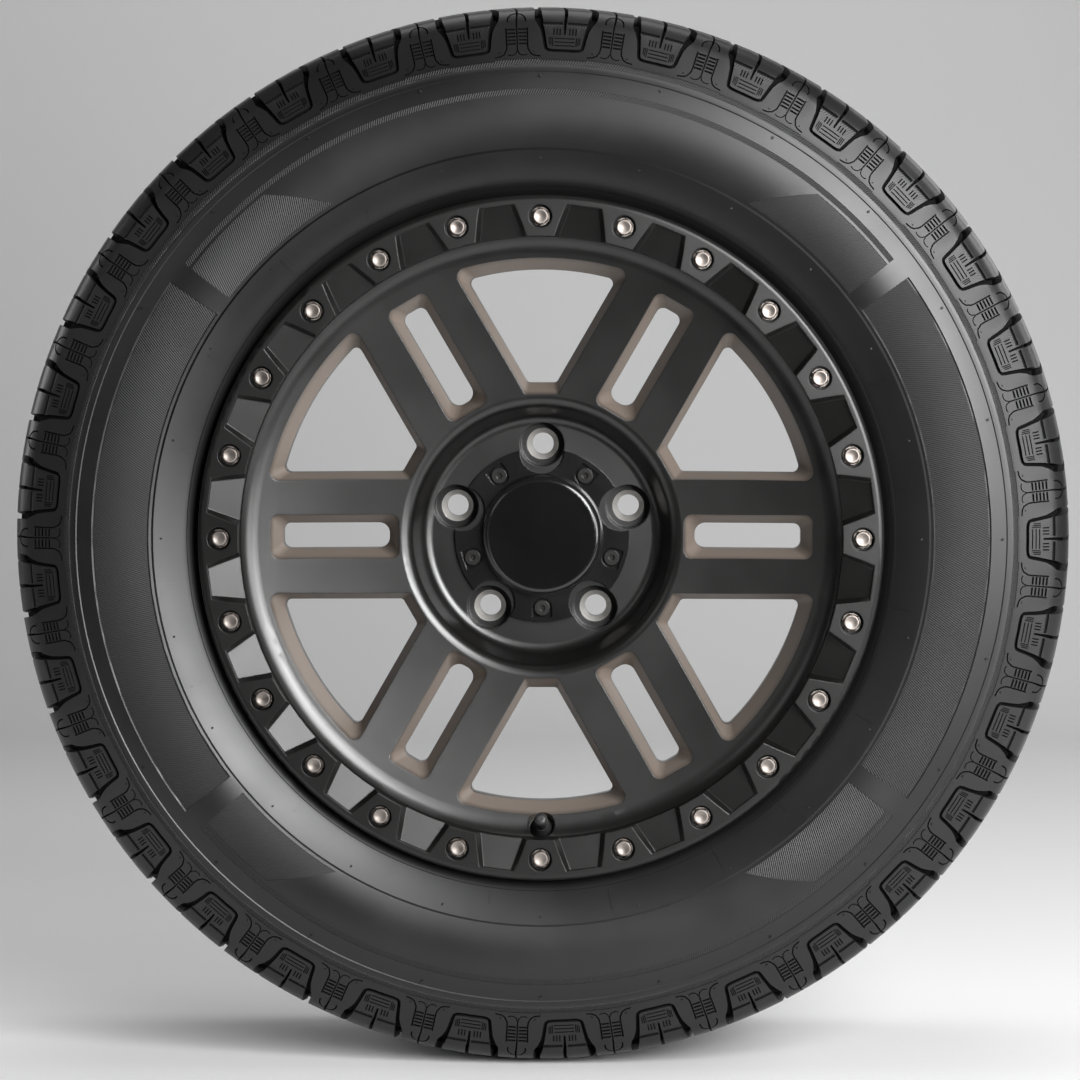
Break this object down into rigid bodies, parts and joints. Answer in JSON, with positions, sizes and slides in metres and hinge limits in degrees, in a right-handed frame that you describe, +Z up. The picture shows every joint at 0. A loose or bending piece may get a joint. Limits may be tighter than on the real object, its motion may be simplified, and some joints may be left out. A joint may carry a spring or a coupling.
{
  "type": "car wheel with tyre",
  "caption": "Black six-spoke alloy car wheel with a bolted outer ring and scalloped centre cap, fitted with a road tyre and a snap-in valve.",
  "frame": {"origin": "centre of the wheel: on the spin axis, midway between the two bead seats", "axes": "+Y along the spin axis towards the vehicle, so the outboard face looks along -Y; +Z up, with the valve at the foot"},
  "size_m": [0.7372, 0.242, 0.7372],
  "materials": {
    "tyre": "satin black rubber with a moulded tread and sidewall",
    "wheel_paint": "satin black paint, bronze tint in the openings, bare machined lug seats",
    "ring_paint": "satin black paint",
    "bolt_steel": "bright nickel-plated steel",
    "cap_gloss": "gloss black moulding",
    "disc_gloss": "polished gloss black",
    "screw_black": "black-finished steel",
    "valve_rubber": "black rubber",
    "valve_brass": "plain brass",
    "gasket_rubber": "moulded rubber",
    "core_brass": "plain brass",
    "pin_brass": "plain brass",
    "seal_rubber": "moulded rubber",
    "spring_steel": "plain spring steel",
    "valve_cap_plastic": "black moulded plastic"
  },
  "bodies": {
    "wheel": {"tyre": "tyre", "alloy_wheel": "wheel_paint", "beadlock_ring": "ring_paint", "ring_bolts": "bolt_steel", "centre_cap": "cap_gloss", "cap_disc": "disc_gloss", "cap_screws": "screw_black", "valve_grommet": "valve_rubber", "valve_tube": "valve_brass", "core_gasket": "gasket_rubber", "valve_core": "core_brass", "valve_spring": "spring_steel"},
    "valve_cap": {"valve_cap": "valve_cap_plastic"},
    "valve_pin": {"valve_pin": "pin_brass", "pin_seal": "seal_rubber"}
  },
  "joints": [
    {"name": "valve_cap_pull", "type": "slide", "parent": "wheel", "child": "valve_cap", "axis": [0, -0.9298, 0.3681], "range_m": [0, 0.013]},
    {"name": "valve_pin_press", "type": "slide", "parent": "wheel", "child": "valve_pin", "axis": [0, 0.9298, -0.3681], "range_m": [0, 0.0012], "stiffness_N_per_m": 800, "springref_m": -0.001, "deforming": ["valve_spring"]}
  ]
}
